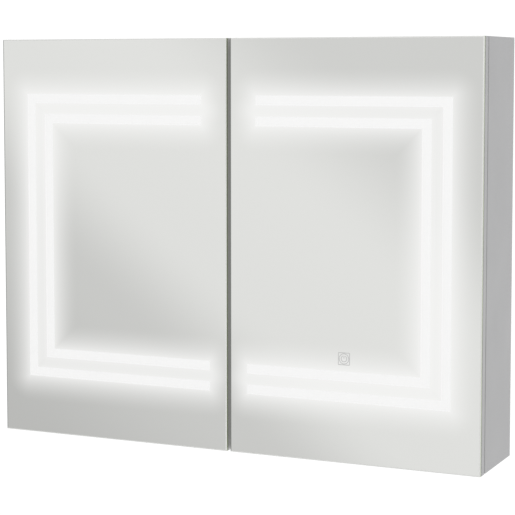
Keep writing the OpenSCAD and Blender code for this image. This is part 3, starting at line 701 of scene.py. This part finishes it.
mark_low, mark_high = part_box("touch_mark")
mark_centre = ((mark_low.x + mark_high.x) / 2, (mark_low.z + mark_high.z) / 2)
built = bmesh.new()
for outer, inner in mark_outlines(mark_high.x - mark_low.x):
    add_ribbon(built, outer, inner, mark_centre, GLASS_FRONT - MARK_PROUD, GLASS_FRONT + MARK_PROUD)
bmesh.ops.remove_doubles(built, verts=built.verts, dist=0.001 * MM)
new_piece(
    "power_mark", mesh_from("power_mark", built), "right_door",
    ["touch_mark"], ["mark"],
)


# ---------- Glass shelves ----------

SHELF_ROUND = 0.8 * MM      # how far a shelf's edges are ground round
LEVEL_FACE = 0.9            # faces turned up or down at least this far are clear, not edge

for node_name in ("upper_shelf", "lower_shelf"):
    low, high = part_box(node_name)
    built = bmesh.new()
    add_box(built, low, high)
    bmesh.ops.bevel(
        built, geom=list(built.edges), offset=SHELF_ROUND, segments=3, profile=0.5, affect="EDGES",
    )
    built.normal_update()
    for face in built.faces:
        face.material_index = 0 if abs(face.normal.z) > LEVEL_FACE else 1
    new_piece(
        f"{node_name}_glass", mesh_from(f"{node_name}_glass", built), node_name,
        [node_name], ["shelf", "shelf_edge"],
    )


# ---------- Leads to the doors ----------

# The right lead's route, from inside the driver housing to inside the door, in millimetres.
LEAD_ROUTE = [
    (112, -40, 272), (126, -40, 272), (138, -40, 273.2), (150, -40, 276.8), (162, -40, 280.4),
    (174, -40, 281.6), (200, -40, 281.6), (296, -40, 281.6), (326, -40, 281.6),
    (340, -41.6, 281.6), (351, -46.6, 281.2), (356, -57.5, 280.2), (356, -70, 277.4),
    (356, -82, 269), (356, -90, 258), (356, -91.5, 244.5), (355.5, -93.5, 236),
    (353.5, -99, 231), (350, -107, 231), (347.5, -113, 236.5), (346.5, -115.5, 244),
    (347, -118.5, 249.5), (347, -125, 254), (347, -133.5, 255),
]
LEAD_RADIUS = 2 * MM
LEAD_STEPS, LEAD_SIDES = 8, 14      # points for each stretch of the route, and round the lead

for side_name, side in SIDES.items():
    route = [(side * x * MM, y * MM, z * MM) for x, y, z in LEAD_ROUTE]
    built = bmesh.new()
    add_tube(built, smooth_route(route, LEAD_STEPS), LEAD_RADIUS, LEAD_SIDES)
    lead = new_piece(
        f"{side_name}_lead", mesh_from(f"{side_name}_lead", built, smooth=True), None,
        [f"{side_name}_door_lead"], ["sheath"],
    )
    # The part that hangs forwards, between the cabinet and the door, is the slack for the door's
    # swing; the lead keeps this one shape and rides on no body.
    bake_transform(lead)


# ---------- Hinge springs ----------

SPRING_WIRE = 0.3 * MM          # half the wire's thickness
SPRING_RADIUS = 1.95 * MM       # to the middle of the wire
SPRING_PITCH = 1 * MM
SPRING_TURNS, TURN_STEPS, WIRE_SIDES = 3, 24, 8

for side_name, side in SIDES.items():
    pin_low, pin_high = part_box(f"{side_name}_hinge_pins")
    pin_x, pin_y = (pin_low.x + pin_high.x) / 2, (pin_low.y + pin_high.y) / 2
    spring_low, spring_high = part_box(f"{side_name}_hinge_springs")
    upper_start = spring_high.z - SPRING_TURNS * SPRING_PITCH - SPRING_WIRE
    built = bmesh.new()
    for start in (upper_start, spring_low.z + SPRING_WIRE):
        points = [
            Vector((
                pin_x + SPRING_RADIUS * math.cos(2 * math.pi * k / TURN_STEPS),
                pin_y + SPRING_RADIUS * math.sin(2 * math.pi * k / TURN_STEPS),
                start + SPRING_PITCH * k / TURN_STEPS,
            ))
            for k in range(SPRING_TURNS * TURN_STEPS + 1)
        ]
        add_tube(built, points, SPRING_WIRE, WIRE_SIDES)
    new_piece(
        f"{side_name}_springs", mesh_from(f"{side_name}_springs", built, smooth=True),
        f"{side_name}_door", [f"{side_name}_hinge_springs"], ["spring"],
    )


# ---------- Grommet and bumpers ----------

# The grommet's section in millimetres: radius, and distance in front of the back panel's rear.
GROMMET = (
    (4.3, 0.25), (7.9, 0.25), (8.4, 0.6), (8.5, 1.3), (8.3, 1.95), (6.5, 2.0), (6.5, 5.0),
    (8.3, 5.05), (8.5, 5.6), (8.3, 6.4), (7.8, 6.75), (4.4, 6.75), (4.05, 6.4), (4.05, 0.55),
)
BUMPER_INSET = 4 * MM           # from the bumpers' box to the middle of each
DOME_RADIUS, DOME_HIGH = 3.9 * MM, 2.2 * MM
DOME_ANGLES = (0, 15, 30, 45, 60, 75, 86)

grommet_low, grommet_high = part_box("inlet_grommet")
grommet_place = (
    (grommet_low.x + grommet_high.x) / 2, 0.0, (grommet_low.z + grommet_high.z) / 2,
)
built = bmesh.new()
add_lathe(built, [(r * MM, d * MM) for r, d in GROMMET], grommet_place, steps=48)
new_piece(
    "grommet", mesh_from("grommet", built, smooth=True), "cabinet",
    ["inlet_grommet"], ["rubber"],
)

bumper_low, bumper_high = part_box("door_bumpers")
dome = [
    (DOME_RADIUS * math.cos(math.radians(t)), DOME_HIGH * math.sin(math.radians(t)))
    for t in DOME_ANGLES
]
built = bmesh.new()
for x in (bumper_low.x + BUMPER_INSET, bumper_high.x - BUMPER_INSET):
    for z in (bumper_low.z + BUMPER_INSET, bumper_high.z - BUMPER_INSET):
        add_lathe(built, dome, (x, BODY_FRONT, z), steps=28)
new_piece(
    "bumpers", mesh_from("bumpers", built, smooth=True), "cabinet",
    ["door_bumpers"], ["silicone"],
)


# ---------- Light, floor and camera ----------

# The studio's soft panels of light slant across the space in front of the object.
SLANT = (0.628, 0.778)      # which way they follow each other: across, up
SLANT_REACH = 0.8           # they are laid out between minus this and this
PANELS = (                  # where each is along the slant, and how bright
    (-0.60, 0.600), (-0.480, 0.712), (-0.412, 0.902), (-0.330, 0.918), (-0.245, 0.765),
    (-0.10, 0.750), (0.12, 0.900), (0.30, 0.780), (0.55, 0.900),
)
LEAST_AHEAD = 0.2           # keeps the slant from running off to the sides
TO_BACKDROP = (-0.45, 0.25)         # the y of directions that turn from panels to backdrop
BACKDROP = 1.06             # the backdrop's brightness
FLOOR_DROP, FLOOR_RADIUS = 1.45, 2.6
LAMP_PLACE, LAMP_WATTS, LAMP_SIZE = (0.6, -2.2, 2.2), 12, 2.0
CAMERA_PLACE = (1.0433, -2.3313, 0.2556)
CAMERA_YAW, CAMERA_PITCH = math.radians(24.511), math.radians(4.298)
CAMERA_LENS, CAMERA_SHIFT = 117.87, -0.12


def studio_world():
    """A bright studio behind the object, and a dimmer one in front with broad soft panels of
    light, which the mirrors reflect."""
    world = bpy.data.worlds.new("studio")
    bpy.context.scene.world = world
    world.use_nodes = True
    tree = world.node_tree
    axes = axes_of(tree, add_node(tree, "ShaderNodeTexCoord").outputs["Generated"])
    ahead = math_node(tree, "MAXIMUM", math_node(tree, "ABSOLUTE", axes["Y"]), LEAST_AHEAD)
    across, above = (
        math_node(tree, "MULTIPLY", math_node(tree, "DIVIDE", axes[axis], ahead), share)
        for axis, share in zip("XZ", SLANT)
    )
    slant = math_node(tree, "ADD", across, above)
    place = remap(tree, slant, (-SLANT_REACH, SLANT_REACH), (0.0, 1.0))
    ramp_node = add_node(tree, "ShaderNodeValToRGB", [("Fac", place)])
    ramp = ramp_node.color_ramp
    ramp.interpolation = "EASE"
    while len(ramp.elements) < len(PANELS):
        ramp.elements.new(0.5)
    for element, (at, level) in zip(ramp.elements, PANELS):
        element.position = (at + SLANT_REACH) / (2 * SLANT_REACH)
        element.color = (level, level, level * 0.992, 1)
    behind = remap(tree, axes["Y"], TO_BACKDROP, (0.0, 1.0), "SMOOTHSTEP")
    backdrop = (BACKDROP, BACKDROP, BACKDROP, 1)
    colour = mix_colours(tree, behind, ramp_node.outputs["Color"], backdrop)
    put(tree, tree.nodes["Background"].inputs["Color"], colour)


def pale_floor():
    """A plain pale floor well below the hanging cabinet, which fades out with distance."""
    built = bmesh.new()
    bmesh.ops.create_circle(built, cap_ends=True, segments=96, radius=FLOOR_RADIUS)
    floor = bpy.data.objects.new("floor", mesh_from("floor", built))
    bpy.context.scene.collection.objects.link(floor)
    floor.location = (0, FRONT / 2, -HALF_H - FLOOR_DROP)
    material = finish_material("pale_floor", (0.86, 0.86, 0.86), roughness=0.8)
    tree = material.node_tree
    far = add_node(
        tree, "ShaderNodeVectorMath", [(0, object_place(tree))], operation="LENGTH",
    ).outputs["Value"]
    fade = remap(tree, far, (0.4 * FLOOR_RADIUS, FLOOR_RADIUS), (1.0, 0.0), "SMOOTHSTEP")
    feed(material, "Alpha", fade)
    floor.data.materials.append(material)


def soft_light():
    """One broad soft light from above the front, kept out of the mirrors."""
    lamp = bpy.data.lights.new("soft_light", "AREA")
    lamp.energy, lamp.size = LAMP_WATTS, LAMP_SIZE
    made = bpy.data.objects.new("soft_light", lamp)
    bpy.context.scene.collection.objects.link(made)
    made.location = LAMP_PLACE
    made.rotation_euler = (-made.location).to_track_quat("-Z", "Y").to_euler()
    made.visible_glossy = False
    made.visible_camera = False


def photo_camera():
    """The photograph's camera: to the right, a little below the top, with a long lens."""
    data = bpy.data.cameras.new("camera")
    camera = bpy.data.objects.new("camera", data)
    bpy.context.scene.collection.objects.link(camera)
    data.sensor_width = 36
    data.lens = CAMERA_LENS
    data.shift_y = CAMERA_SHIFT
    data.clip_start, data.clip_end = 0.05, 50
    camera.location = CAMERA_PLACE
    camera.rotation_euler = (math.pi / 2 - CAMERA_PITCH, 0, CAMERA_YAW)
    bpy.context.scene.camera = camera


studio_world()
pale_floor()
soft_light()
photo_camera()
bpy.context.scene.view_settings.view_transform = "Standard"
